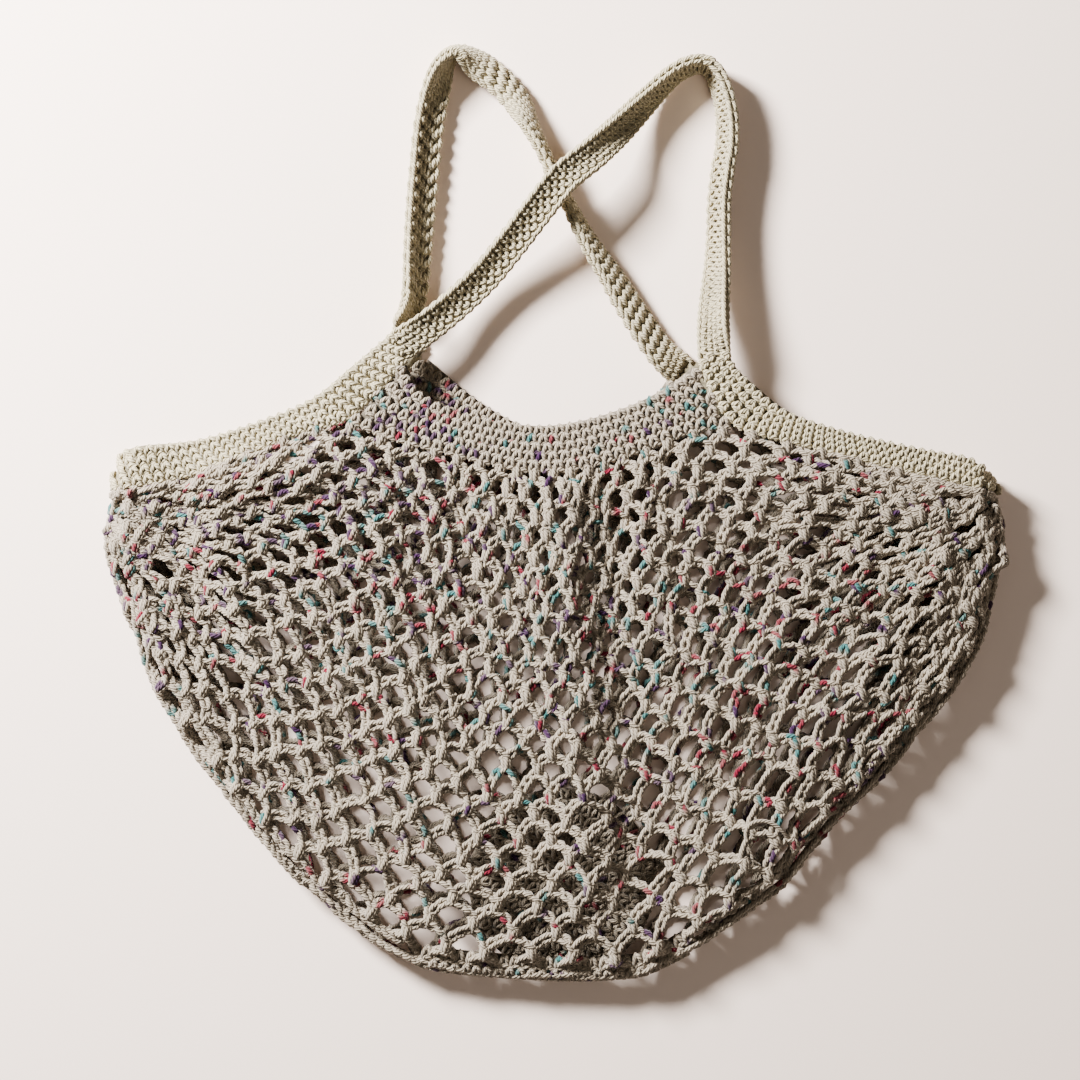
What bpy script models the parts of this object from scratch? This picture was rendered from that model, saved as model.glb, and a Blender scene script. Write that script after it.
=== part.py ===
"""Crocheted mesh market bag, lying on its back with its two handles laid out above its mouth.

The row frame has +X to the right, +Y from the base towards the handles and +Z up from the
surface. The origin is on that surface, below the middle of the whole outline.
"""

import math

import bmesh
import bpy
import numpy as np

MM = 0.001

# Cloth thicknesses and the spaces between the layers, in millimetres.
NET_THICKNESS = 4.5
BAND_THICKNESS = 5.0
STRAP_THICKNESS = 4.4
FRONT_HEIGHT = 18.5
FOLD_HEIGHT = 10.5
FOLD_RADIUS = 7.0
JOIN_GAP = 1.3
NECK_STATIONS = 20
SIDE_STATIONS = 15

# Handle section: the width across its curled edges, how far the edges curl up, the stations
# along it, and how many of them the curl takes to grow at each end.
STRAP_WIDTH = 13.5
STRAP_CURL = 2.4
STRAP_STATIONS = 60
CURL_EASE = 4

# The net as it is cut here: cells of the drawn grid, and the strands between their gaps.
CELLS_ACROSS = 11
CELLS_DOWN = 7
EDGE_CUTS = 3
EVENING_STEPS = 24
STRAND_WIDTH = 7.6
RIM_STRIP = 5.0
SMALLEST_GAP_RADIUS = 2.2
BASE_ROUND = {"x": 4.0, "y": -186.0, "radius": 47.0}

# Plan outlines, in millimetres, each through its own points from left to right.
OUTLINE_LEFT = [
    (-221.5, 7.8), (-224.3, -9.0), (-223.8, -24.0), (-217.5, -44.0), (-208.0, -68.5),
    (-199.0, -92.5), (-170.5, -136.0), (-134.5, -179.5), (-95.0, -213.5),
]
OUTLINE_BOTTOM = [
    (-95.0, -213.5), (-74.5, -225.5), (-49.0, -231.0), (3.5, -234.5),
    (35.0, -233.5), (48.0, -231.0), (72.0, -219.0), (91.0, -206.0),
]
OUTLINE_RIGHT = [
    (221.5, 7.3), (225.3, -9.0), (222.0, -32.0), (215.5, -62.0), (205.5, -83.5), (185.0, -109.0),
    (166.0, -132.0), (148.5, -149.5), (133.0, -166.5), (117.0, -186.5), (91.0, -206.0),
]
FRONT_RIM = [
    (-221.5, 7.8), (-181.5, 15.8), (-151.5, 27.3), (-126.5, 37.8),
    (-104.0, 42.0), (-86.0, 36.3), (-55.5, 28.8), (-17.0, 19.8),
    (2.0, 19.3), (21.0, 22.3), (53.0, 32.8), (70.0, 39.0),
    (90.0, 39.5), (120.0, 32.3), (152.0, 24.3), (183.5, 16.8), (221.5, 7.3),
]
BACK_RIM = [
    (-221.5, 7.8), (-181.5, 15.8), (-151.5, 27.3), (-126.5, 39.0),
    (-104.0, 48.5), (-81.5, 51.0), (-61.5, 43.5), (-41.5, 32.5),
    (-20.0, 22.5), (0.0, 18.5), (24.0, 21.0), (48.0, 30.5),
    (70.0, 38.5), (92.0, 39.5), (120.0, 32.3), (152.0, 24.3), (183.5, 16.8), (221.5, 7.3),
]
FRONT_NECKLINE = [
    (-73.5, 72.8), (-67.5, 61.3), (-56.5, 53.3), (-35.5, 45.8),
    (-7.0, 42.3), (15.5, 45.3), (33.5, 50.8), (47.5, 56.8), (59.0, 63.8), (68.5, 71.3),
]
BACK_NECKLINE = [
    (-63.0, 76.5), (-53.5, 68.3), (-38.5, 56.0), (-22.0, 46.0),
    (-8.0, 41.0), (15.0, 39.5), (35.0, 46.0), (49.0, 55.5), (57.0, 66.5),
]
LEFT_FRONT_EDGES = {
    "top": [(-82.5, 86.8), (-101.0, 71.3), (-121.5, 54.8), (-147.5, 43.8),
            (-176.5, 35.3), (-206.0, 32.3), (-214.5, 28.3)],
    "bottom": [(-74.0, 74.8), (-87.5, 59.8), (-104.0, 45.4), (-126.5, 39.8),
               (-151.5, 29.3), (-181.5, 18.0), (-221.5, 10.2)],
}
LEFT_BACK_EDGES = {
    "top": [(-79.2, 87.6), (-101.0, 71.3), (-121.5, 54.8), (-147.5, 43.8),
            (-176.5, 35.3), (-206.0, 32.3), (-214.5, 28.3)],
    "bottom": [(-65.6, 86.4), (-67.2, 78.0), (-82.5, 65.0), (-104.0, 51.6), (-126.5, 41.2),
               (-151.5, 29.3), (-181.5, 18.0), (-221.5, 10.2)],
}
RIGHT_FRONT_EDGES = {
    "top": [(87.0, 77.3), (90.5, 70.8), (98.5, 63.3), (117.5, 48.8),
            (145.5, 38.8), (183.5, 30.3), (205.5, 26.3), (216.0, 17.8)],
    "bottom": [(72.0, 75.8), (77.5, 60.8), (89.5, 42.6), (120.0, 34.5),
               (152.0, 26.4), (183.5, 18.9), (205.0, 14.2), (221.5, 9.8)],
}
RIGHT_BACK_EDGES = {
    "top": [(69.1, 75.7), (84.0, 72.5), (98.5, 63.3), (117.5, 48.8),
            (145.5, 38.8), (183.5, 30.3), (205.5, 26.3), (216.0, 17.8)],
    "bottom": [(59.3, 65.6), (72.0, 54.4), (91.5, 42.2), (120.0, 34.5),
               (152.0, 26.4), (183.5, 18.9), (205.0, 14.2), (221.5, 9.8)],
}

# Folds of the front layer: each runs from its start to its end and rises or sinks by rise.
FRONT_FOLDS = [
    {"start": (3, 2), "end": (17, -190), "half_width": 12, "rise": 7.0},
    {"start": (27, -8), "end": (40, -180), "half_width": 12, "rise": -4.5},
    {"start": (-165, 12), "end": (-112, 22), "half_width": 13, "rise": 6.0},
    {"start": (-188, -8), "end": (-158, -92), "half_width": 14, "rise": -4.5},
    {"start": (-98, 10), "end": (-66, -150), "half_width": 17, "rise": 4.0},
    {"start": (98, 20), "end": (178, -2), "half_width": 13, "rise": 6.0},
    {"start": (192, -22), "end": (92, -180), "half_width": 11, "rise": 5.0},
    {"start": (150, -32), "end": (70, -120), "half_width": 12, "rise": 3.5},
]

# Handle routes. roll turns the strap from flat at 0 to on its edge at 90, and lift is how far
# its lowest edge is above the surface.
BACK_HANDLE = [
    {"x": -72.3, "y": 89.4, "roll": 0, "lift": 0.0},
    {"x": -72.7, "y": 94.0, "roll": 10, "lift": 0.0},
    {"x": -72.6, "y": 101.0, "roll": 48, "lift": 0.0},
    {"x": -71.0, "y": 111.0, "roll": 50, "lift": 0.0},
    {"x": -69.5, "y": 131.0, "roll": 40, "lift": 0.0},
    {"x": -68.0, "y": 150.0, "roll": 34, "lift": 0.0},
    {"x": -66.0, "y": 171.0, "roll": 30, "lift": 0.0},
    {"x": -64.0, "y": 191.0, "roll": 30, "lift": 0.0},
    {"x": -61.0, "y": 208.5, "roll": 36, "lift": 0.0},
    {"x": -57.5, "y": 222.0, "roll": 62, "lift": 0.0},
    {"x": -51.5, "y": 230.0, "roll": 92, "lift": 0.0},
    {"x": -43.5, "y": 229.5, "roll": 122, "lift": 0.0},
    {"x": -35.0, "y": 223.0, "roll": 150, "lift": 0.0},
    {"x": -25.0, "y": 215.0, "roll": 153, "lift": 0.0},
    {"x": -17.5, "y": 206.0, "roll": 143, "lift": 0.0},
    {"x": -11.0, "y": 194.5, "roll": 112, "lift": 0.0},
    {"x": -4.0, "y": 179.5, "roll": 94, "lift": 0.0},
    {"x": 3.0, "y": 164.5, "roll": 90, "lift": 0.0},
    {"x": 10.0, "y": 151.0, "roll": 98, "lift": 0.0},
    {"x": 19.5, "y": 134.5, "roll": 115, "lift": 0.0},
    {"x": 28.5, "y": 121.0, "roll": 130, "lift": 0.0},
    {"x": 36.5, "y": 107.5, "roll": 141, "lift": 0.0},
    {"x": 45.5, "y": 93.0, "roll": 150, "lift": 0.0},
    {"x": 54.5, "y": 80.0, "roll": 158, "lift": 0.0},
    {"x": 63.3, "y": 71.5, "roll": 180, "lift": 0.0},
]
FRONT_HANDLE = [
    {"x": -77.5, "y": 81.5, "roll": 0, "lift": 16.0},
    {"x": -65.0, "y": 90.5, "roll": 12, "lift": 12.5},
    {"x": -49.5, "y": 103.5, "roll": 16, "lift": 8.5},
    {"x": -35.0, "y": 117.5, "roll": 16, "lift": 8.0},
    {"x": -22.5, "y": 132.0, "roll": 14, "lift": 11.5},
    {"x": -11.5, "y": 145.5, "roll": 10, "lift": 16.0},
    {"x": -2.5, "y": 156.5, "roll": 5, "lift": 19.0},
    {"x": 5.5, "y": 165.8, "roll": 4, "lift": 19.5},
    {"x": 18.5, "y": 177.0, "roll": 14, "lift": 16.5},
    {"x": 30.0, "y": 189.0, "roll": 32, "lift": 9.5},
    {"x": 40.5, "y": 201.0, "roll": 48, "lift": 3.5},
    {"x": 49.5, "y": 211.0, "roll": 62, "lift": 1.0},
    {"x": 59.5, "y": 220.5, "roll": 72, "lift": 0.0},
    {"x": 69.5, "y": 225.5, "roll": 77, "lift": 0.0},
    {"x": 78.5, "y": 223.5, "roll": 77, "lift": 0.0},
    {"x": 84.5, "y": 215.0, "roll": 72, "lift": 0.0},
    {"x": 88.0, "y": 200.0, "roll": 66, "lift": 0.0},
    {"x": 88.5, "y": 186.0, "roll": 62, "lift": 0.0},
    {"x": 86.5, "y": 173.0, "roll": 60, "lift": 0.0},
    {"x": 84.5, "y": 157.0, "roll": 60, "lift": 0.0},
    {"x": 84.0, "y": 138.0, "roll": 58, "lift": 0.5},
    {"x": 83.0, "y": 121.0, "roll": 50, "lift": 3.0},
    {"x": 81.0, "y": 104.0, "roll": 36, "lift": 8.0},
    {"x": 79.5, "y": 90.0, "roll": 18, "lift": 13.0},
    {"x": 79.5, "y": 78.4, "roll": 0, "lift": 16.0},
]

CREAM = (0.80, 0.74, 0.60, 1.0)
SPECKLED = (0.74, 0.69, 0.64, 1.0)
COTTON_ROUGHNESS = 0.92


def clear_scene():
    for old in list(bpy.data.objects):
        bpy.data.objects.remove(old, do_unlink=True)


def cotton(name, colour):
    """A matt cotton yarn finish."""
    material = bpy.data.materials.new(name)
    material.use_nodes = True
    shader = material.node_tree.nodes["Principled BSDF"]
    shader.inputs["Base Color"].default_value = colour
    shader.inputs["Roughness"].default_value = COTTON_ROUGHNESS
    shader.inputs["Metallic"].default_value = 0.0
    return material


def smooth_through(rows, count, fineness=24):
    """count places, evenly spaced along a Catmull-Rom curve through the rows."""
    rows = np.array(rows, float)
    padded = np.vstack([2 * rows[0] - rows[1], rows, 2 * rows[-1] - rows[-2]])
    dense = []
    for before, start, end, after in zip(padded, padded[1:], padded[2:], padded[3:]):
        for t in np.linspace(0, 1, fineness, endpoint=False):
            dense.append(
                start
                + 0.5 * t * (end - before)
                + t * t * (before - 2.5 * start + 2 * end - 0.5 * after)
                + t**3 * (1.5 * (start - end) + 0.5 * (after - before))
            )
    dense = np.array(dense + [rows[-1]])
    steps = np.linalg.norm(np.diff(dense[:, :2], axis=0), axis=1)
    along = np.concatenate([[0], np.cumsum(steps)])
    places = np.linspace(0, along[-1], count)
    return np.stack([np.interp(places, along, dense[:, k]) for k in range(rows.shape[1])], axis=1)


FOLD_LINE = np.vstack([
    [LEFT_FRONT_EDGES["top"][-1]],
    smooth_through(OUTLINE_LEFT, 30),
    smooth_through(OUTLINE_BOTTOM, 70),
    smooth_through(OUTLINE_RIGHT, 30)[::-1],
    [RIGHT_FRONT_EDGES["top"][-1]],
])


def distance_to_lines(x, y, line):
    """Shortest distance from a place to a line of points, in millimetres."""
    place = np.array([x, y])
    starts, spans = line[:-1], np.diff(line, axis=0)
    share = ((place - starts) * spans).sum(1) / np.maximum((spans**2).sum(1), 1e-9)
    nearest = starts + spans * np.clip(share, 0, 1)[:, None]
    return float(np.linalg.norm(nearest - place, axis=1).min())


def front_rise(x, y):
    """How far the front layer's folds lift it above FRONT_HEIGHT."""
    rise = 0.0
    for fold in FRONT_FOLDS:
        distance = distance_to_lines(x, y, np.array([fold["start"], fold["end"]], float))
        rise += fold["rise"] * math.exp(-((distance / fold["half_width"]) ** 2))
    return rise


def layer_height(x, y, front, thickness):
    """Height of a layer's middle: it turns down or up to FOLD_HEIGHT at the fold line."""
    share = min(1.0, distance_to_lines(x, y, FOLD_LINE) / FOLD_RADIUS)
    share = math.sin(share * math.pi / 2)
    level = FRONT_HEIGHT + front_rise(x, y) if front else thickness / 2
    return FOLD_HEIGHT + (level - FOLD_HEIGHT) * share


def outline_edges(inset):
    """The left, base and right fold lines, moved in from the outline by inset."""
    lines = [smooth_through(OUTLINE_LEFT, 200), smooth_through(OUTLINE_BOTTOM, 200)]
    lines.append(smooth_through(OUTLINE_RIGHT, 200)[::-1])
    whole = np.vstack([lines[0], lines[1][1:], lines[2][1:]])
    ahead = np.gradient(whole, axis=0)
    ahead /= np.linalg.norm(ahead, axis=1)[:, None]
    whole = whole + inset * np.stack([-ahead[:, 1], ahead[:, 0]], axis=1)
    return {"left": whole[:200], "base": whole[199:399], "right": whole[398:][::-1]}


def rim_line(rim):
    """The net's upper edge, from one fold to the other."""
    return smooth_through(rim, 200)


def share_of(line, share):
    """The place at a share, from 0 to 1, of a line of points."""
    ends = np.linspace(0, 1, len(line))
    return np.array([np.interp(share, ends, line[:, k]) for k in (0, 1)])


def net_patch(rim):
    """The net's plan: a place (u, v) from the rim at v 0 to the base fold at v 1."""
    edges = outline_edges(FOLD_RADIUS)
    edges["rim"] = rim_line(rim) - np.array([0.0, RIM_STRIP])
    edges["rim"][0], edges["rim"][-1] = edges["left"][0], edges["right"][0]
    cells = {"left": CELLS_DOWN, "base": CELLS_ACROSS, "right": CELLS_DOWN, "rim": CELLS_ACROSS}
    for side, count in cells.items():
        edges[side] = np.array([share_of(edges[side], cell / count) for cell in range(count + 1)])

    def place(u, v):
        across = (1 - v) * share_of(edges["rim"], u) + v * share_of(edges["base"], u)
        down = (1 - u) * share_of(edges["left"], v) + u * share_of(edges["right"], v)
        corners = (
            (1 - u) * (1 - v) * edges["rim"][0]
            + u * (1 - v) * edges["rim"][-1]
            + (1 - u) * v * edges["base"][0]
            + u * v * edges["base"][-1]
        )
        return across + down - corners

    return place


def is_open(face, front):
    """True for a cell that is wide enough to cut and isn't in the closely worked base round."""
    x, y = face.calc_center_median()[:2]
    from_base = math.hypot(x - BASE_ROUND["x"], y - BASE_ROUND["y"])
    inner_radius = 2 * face.calc_area() / face.calc_perimeter()
    wide_enough = inner_radius > STRAND_WIDTH / 2 + SMALLEST_GAP_RADIUS
    return wide_enough and (front or from_base > BASE_ROUND["radius"])


def border_of(u, v):
    """The border that a place of the drawn grid is on, or nothing."""
    distances = {"left": u, "right": 1 - u, "base": 1 - v, "rim": v}
    nearest = min(distances, key=distances.get)
    return nearest if distances[nearest] < 1e-4 else None


def spot(co):
    """A place in the plan, rounded so that it can be looked up."""
    return round(co.x, 2), round(co.y, 2)


def outer_place(u, v, outline, front):
    """Where a place on the grid's border reaches out to: the fold line, or the rim's edge."""
    side = border_of(u, v)
    x, y = share_of(outline[side], u if side in ("base", "rim") else v)
    height = layer_height(x, y, front, NET_THICKNESS) if side == "rim" else FOLD_HEIGHT
    return x * MM, y * MM, height * MM


def diamond_sheet(rim, front):
    """One layer of the net: a grid turned to diamonds, each with its gap cut out."""
    place = net_patch(rim)
    outline = outline_edges(0.0)
    outline["rim"] = rim_line(rim)
    bm = bmesh.new()
    bmesh.ops.create_grid(bm, x_segments=CELLS_ACROSS, y_segments=CELLS_DOWN, size=0.5)
    grid_edges = [edge for edge in bm.edges if not edge.is_boundary]
    bmesh.ops.poke(bm, faces=bm.faces[:])
    bmesh.ops.dissolve_edges(bm, edges=grid_edges, use_verts=False)
    drawn = {}
    inner = []
    for vert in bm.verts:
        u, v = vert.co.x + 0.5, vert.co.y + 0.5
        vert.co = (*place(u, v), 0.0)
        if border_of(u, v):
            drawn[spot(vert.co)] = (u, v)
        else:
            inner.append(vert)
    for step in range(EVENING_STEPS):
        bmesh.ops.smooth_vert(bm, verts=inner, factor=0.5, use_axis_x=True, use_axis_y=True)

    cut = [face for face in bm.faces if is_open(face, front)]
    bmesh.ops.inset_individual(bm, faces=cut, thickness=STRAND_WIDTH / 2, use_even_offset=True)
    bmesh.ops.delete(bm, geom=cut, context="FACES")
    border = [e for e in bm.edges if e.is_boundary and all(spot(v.co) in drawn for v in e.verts)]
    for edge in border:
        start, end = edge.verts
        for step in range(1, EDGE_CUTS + 1):
            share = step / (EDGE_CUTS + 1)
            pair = zip(drawn[spot(start.co)], drawn[spot(end.co)])
            drawn[spot(start.co.lerp(end.co, share))] = tuple(a + share * (b - a) for a, b in pair)
    bmesh.ops.subdivide_edges(bm, edges=border, cuts=EDGE_CUTS)

    layer = set(bm.verts)
    border = [e for e in bm.edges if e.is_boundary and all(spot(v.co) in drawn for v in e.verts)]
    bmesh.ops.extrude_edge_only(bm, edges=border)
    for vert in bm.verts:
        x, y = vert.co.x, vert.co.y
        if vert in layer:
            vert.co = (x * MM, y * MM, layer_height(x, y, front, NET_THICKNESS) * MM)
        else:
            vert.co = outer_place(*drawn[spot(vert.co)], outline, front)
    return bm


def joined(name, *sheets):
    """The sheets as one mesh, welded where they meet."""
    whole = bmesh.new()
    for sheet in sheets:
        held = bpy.data.meshes.new(name)
        sheet.to_mesh(held)
        sheet.free()
        whole.from_mesh(held)
        bpy.data.meshes.remove(held)
    bmesh.ops.remove_doubles(whole, verts=whole.verts[:], dist=0.05 * MM)
    bmesh.ops.recalc_face_normals(whole, faces=whole.faces[:])
    mesh = bpy.data.meshes.new(name)
    whole.to_mesh(mesh)
    whole.free()
    return mesh


def thickened(name, mesh, thickness, material, collection):
    """The sheet given its thickness, with its underside flat where it lies on the surface."""
    sheet = bpy.data.objects.new(name + "_sheet", mesh)
    collection.objects.link(sheet)
    solidify = sheet.modifiers.new("cloth", "SOLIDIFY")
    solidify.thickness = thickness * MM
    solidify.offset = 0.0
    solidify.use_even_offset = True
    solidify.use_quality_normals = True
    bpy.context.view_layer.update()
    graph = bpy.context.evaluated_depsgraph_get()
    solid = bpy.data.meshes.new_from_object(sheet.evaluated_get(graph))
    bpy.data.objects.remove(sheet, do_unlink=True)
    for vert in solid.vertices:
        vert.co.z = max(vert.co.z, 0.0)
    solid.materials.clear()
    solid.materials.append(material)
    piece = bpy.data.objects.new(name, solid)
    collection.objects.link(piece)
    return piece


def strip_mesh(top, bottom, height, across=3):
    """A worked strip between two edges of equally many places."""
    bm = bmesh.new()
    count = len(top)
    bmesh.ops.create_grid(bm, x_segments=count - 1, y_segments=across, size=0.5)
    for vert in bm.verts:
        place = int(round((vert.co.x + 0.5) * (count - 1)))
        share = vert.co.y + 0.5
        x, y = (1 - share) * top[place] + share * bottom[place]
        vert.co = (x * MM, y * MM, height(x, y, place) * MM)
    return bm


def neck_band(name, neckline, rim, ends, front, material, collection):
    """The speckled band along one side of the mouth, between the two cream side bands."""
    top = smooth_through(neckline, NECK_STATIONS)
    edge = smooth_through(rim, 400)
    inside = edge[(edge[:, 0] > ends[0]) & (edge[:, 0] < ends[1])]
    bottom = smooth_through(inside[::12], NECK_STATIONS) + np.array([0.0, JOIN_GAP])

    def height(x, y, place):
        return layer_height(x, y, front, BAND_THICKNESS)

    bm = strip_mesh(top, bottom, height)
    return thickened(name, joined(name, bm), BAND_THICKNESS, material, collection)


def side_band(name, front_edges, back_edges, material, collection):
    """A cream side band: it folds round the bag's corner from the front layer to the back."""
    edges = []
    for side in (front_edges, back_edges):
        edges.append([smooth_through(side[edge], SIDE_STATIONS) for edge in ("top", "bottom")])
    top = np.vstack([edges[0][0], edges[1][0][::-1][1:]])
    bottom = np.vstack([edges[0][1], edges[1][1][::-1][1:]])

    def height(x, y, place):
        if place == SIDE_STATIONS - 1:
            return FOLD_HEIGHT
        return layer_height(x, y, place < SIDE_STATIONS - 1, BAND_THICKNESS)

    bm = strip_mesh(top, bottom, height)
    return thickened(name, joined(name, bm), BAND_THICKNESS, material, collection)


def handle(name, route, material, collection):
    """A strap with curled edges, swept along its route and turned by its roll."""
    rows = [(row["x"], row["y"], row["roll"], row["lift"]) for row in route]
    stations = smooth_through(rows, STRAP_STATIONS)
    shares = (-1.0, -0.5, 0.0, 0.5, 1.0)
    curls = (1.0, 0.2, 0.0, 0.2, 1.0)
    bm = bmesh.new()
    bmesh.ops.create_grid(bm, x_segments=STRAP_STATIONS - 1, y_segments=len(shares) - 1, size=0.5)
    for vert in bm.verts:
        place = int(round((vert.co.x + 0.5) * (STRAP_STATIONS - 1)))
        lane = int(round((vert.co.y + 0.5) * (len(shares) - 1)))
        before, after = stations[max(place - 1, 0)], stations[min(place + 1, STRAP_STATIONS - 1)]
        ahead = (after - before)[:2] / np.linalg.norm((after - before)[:2])
        x, y, roll, lift = stations[place]
        turn = math.radians(roll)
        ends = min(1.0, min(place, STRAP_STATIONS - 1 - place) / CURL_EASE)
        curl = STRAP_CURL * curls[lane] * ends
        sideways = STRAP_WIDTH / 2 * shares[lane] * math.cos(turn) - curl * math.sin(turn)
        upwards = STRAP_WIDTH / 2 * shares[lane] * math.sin(turn) + curl * math.cos(turn)
        half_depth = STRAP_WIDTH / 2 * abs(math.sin(turn)) + STRAP_THICKNESS / 2
        sunk = STRAP_CURL * max(0.0, -math.cos(turn)) * ends
        vert.co = (
            (x - ahead[1] * sideways) * MM,
            (y + ahead[0] * sideways) * MM,
            (lift + half_depth + sunk + upwards) * MM,
        )
    return thickened(name, joined(name, bm), STRAP_THICKNESS, material, collection)


def build():
    clear_scene()
    bag = bpy.data.collections.new("mesh_market_bag")
    bpy.context.scene.collection.children.link(bag)
    cream = cotton("cream_cotton", CREAM)
    speckled = cotton("speckled_cotton", SPECKLED)
    net = joined("net_body", diamond_sheet(FRONT_RIM, True), diamond_sheet(BACK_RIM, False))
    thickened("net_body", net, NET_THICKNESS, speckled, bag)
    neck_band("neck_band_front", FRONT_NECKLINE, FRONT_RIM, (-101, 87), True, speckled, bag)
    neck_band("neck_band_back", BACK_NECKLINE, BACK_RIM, (-98, 87), False, speckled, bag)
    side_band("side_band_left", LEFT_FRONT_EDGES, LEFT_BACK_EDGES, cream, bag)
    side_band("side_band_right", RIGHT_FRONT_EDGES, RIGHT_BACK_EDGES, cream, bag)
    handle("handle_back", BACK_HANDLE, cream, bag)
    handle("handle_front", FRONT_HANDLE, cream, bag)


build()
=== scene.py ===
"""Looks of the crocheted mesh market bag: every stitch is worked as a loop of plied cotton yarn.

The tables repeat those of the part's source, in millimetres, in the same frame.
"""

import math
import random

import bmesh
import bpy
import numpy as np
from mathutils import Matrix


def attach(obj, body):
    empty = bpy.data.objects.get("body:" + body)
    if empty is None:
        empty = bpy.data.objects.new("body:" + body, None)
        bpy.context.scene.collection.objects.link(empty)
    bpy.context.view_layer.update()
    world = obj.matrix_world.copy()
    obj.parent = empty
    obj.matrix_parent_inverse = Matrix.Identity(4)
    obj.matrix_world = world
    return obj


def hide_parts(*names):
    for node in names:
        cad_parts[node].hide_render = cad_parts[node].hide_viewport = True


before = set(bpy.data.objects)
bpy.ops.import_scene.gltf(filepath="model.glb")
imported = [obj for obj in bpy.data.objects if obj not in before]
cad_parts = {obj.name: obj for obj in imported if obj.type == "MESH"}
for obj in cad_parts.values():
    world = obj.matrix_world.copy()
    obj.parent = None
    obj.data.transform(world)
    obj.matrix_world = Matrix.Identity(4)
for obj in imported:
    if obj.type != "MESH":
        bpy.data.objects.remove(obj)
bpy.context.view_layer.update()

MM = 0.001

# Cloth heights and sizes, in millimetres, as the solids have them.
NET_THICKNESS = 4.5
BAND_THICKNESS = 5.0
STRAP_THICKNESS = 4.4
FRONT_HEIGHT = 18.5
FOLD_HEIGHT = 10.5
FOLD_RADIUS = 7.0
STRAP_WIDTH = 13.5
STRAP_CURL = 2.4
STRAP_STATIONS = 60
CURL_EASE = 4
JOIN_GAP = 1.3
BASE_ROUND = {"x": 4.0, "y": -186.0, "radius": 47.0}

# Yarn, in millimetres: its radius in each kind of work.
YARN_RADIUS = 1.25
CLOSE_RADIUS = 1.42
ROPE_RADIUS = 1.4
TAIL_RADIUS = 1.05
PLY_RADIUS = 0.45
CLOTH_THICKNESS = 1.6

# Close stitches: how wide they are worked and drawn, how far they stand out, and a handle's lanes.
STITCH_WIDTH = 5.6
DRAWN_STITCH = (5.8, 5.6)
STRAP_PITCH = 4.9
STRAP_LANES = (0.17, 0.39, 0.61, 0.83)
STRAP_STAND = 0.9
RIB_SLANT = 1.3
BASE_STAND = 1.1

# The net: its arches and rounds, and how its knots crowd together and shift.
COLUMNS = 30
ROUNDS = 22
ROPE_INSET = 3.0
RIM_DROP = 0.6
CORNER_LENGTHS = {"rim": 12.0, "outline": 26.0}
CENTRE_CROWDING = 0.42
ROUND_CROWDING = 0.06
GATHER_LENGTH = 1.6
EVENING_STEPS = 8
KNOT_HALF = 2.4
KNOT_DEPTH = 0.3
KNOT_JITTER = 1.3
EDGE_JITTER = 0.3
CLOSEST_KNOTS = 5.2
LINK_PITCH = 4.7
FEWEST_LINKS = 3
STRAND_DEPTH = 0.9
STRAND_WAVE = 0.55

# Ropes that follow the outline: how far in from it and above the fold line they lie, how much
# they wander, and the shares of the outline between which their left and right halves run.
FOLD_ROPES = [
    {"layer": "front", "inset": 3.4, "rise": 2.4, "wander": 0.6,
     "left": (0.0, 0.5), "right": (0.5, 1.0)},
    {"layer": "back", "inset": 3.4, "rise": -2.4, "wander": 0.6,
     "left": (0.0, 0.5), "right": (0.5, 1.0)},
    {"layer": "front", "inset": 10.5, "rise": 6.8, "wander": 2.4,
     "left": (0.07, 0.39), "right": (0.61, 0.93)},
]
FOLD_WAVE_LENGTH = 9.0
FOLD_ROPE_POINTS = 800
FOLD_ARCH_LENGTH = 30
FOLD_TILT = 0.6

# Plan outlines, in millimetres, each through its own points from left to right.
OUTLINE_LEFT = [
    (-221.5, 7.8), (-224.3, -9.0), (-223.8, -24.0), (-217.5, -44.0), (-208.0, -68.5),
    (-199.0, -92.5), (-170.5, -136.0), (-134.5, -179.5), (-95.0, -213.5),
]
OUTLINE_BOTTOM = [
    (-95.0, -213.5), (-74.5, -225.5), (-49.0, -231.0), (3.5, -234.5),
    (35.0, -233.5), (48.0, -231.0), (72.0, -219.0), (91.0, -206.0),
]
OUTLINE_RIGHT = [
    (221.5, 7.3), (225.3, -9.0), (222.0, -32.0), (215.5, -62.0), (205.5, -83.5), (185.0, -109.0),
    (166.0, -132.0), (148.5, -149.5), (133.0, -166.5), (117.0, -186.5), (91.0, -206.0),
]
FRONT_RIM = [
    (-221.5, 7.8), (-181.5, 15.8), (-151.5, 27.3), (-126.5, 37.8),
    (-104.0, 42.0), (-86.0, 36.3), (-55.5, 28.8), (-17.0, 19.8),
    (2.0, 19.3), (21.0, 22.3), (53.0, 32.8), (70.0, 39.0),
    (90.0, 39.5), (120.0, 32.3), (152.0, 24.3), (183.5, 16.8), (221.5, 7.3),
]
BACK_RIM = [
    (-221.5, 7.8), (-181.5, 15.8), (-151.5, 27.3), (-126.5, 39.0),
    (-104.0, 48.5), (-81.5, 51.0), (-61.5, 43.5), (-41.5, 32.5),
    (-20.0, 22.5), (0.0, 18.5), (24.0, 21.0), (48.0, 30.5),
    (70.0, 38.5), (92.0, 39.5), (120.0, 32.3), (152.0, 24.3), (183.5, 16.8), (221.5, 7.3),
]
FRONT_NECKLINE = [
    (-73.5, 72.8), (-67.5, 61.3), (-56.5, 53.3), (-35.5, 45.8),
    (-7.0, 42.3), (15.5, 45.3), (33.5, 50.8), (47.5, 56.8), (59.0, 63.8), (68.5, 71.3),
]
BACK_NECKLINE = [
    (-63.0, 76.5), (-53.5, 68.3), (-38.5, 56.0), (-22.0, 46.0),
    (-8.0, 41.0), (15.0, 39.5), (35.0, 46.0), (49.0, 55.5), (57.0, 66.5),
]
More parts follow.
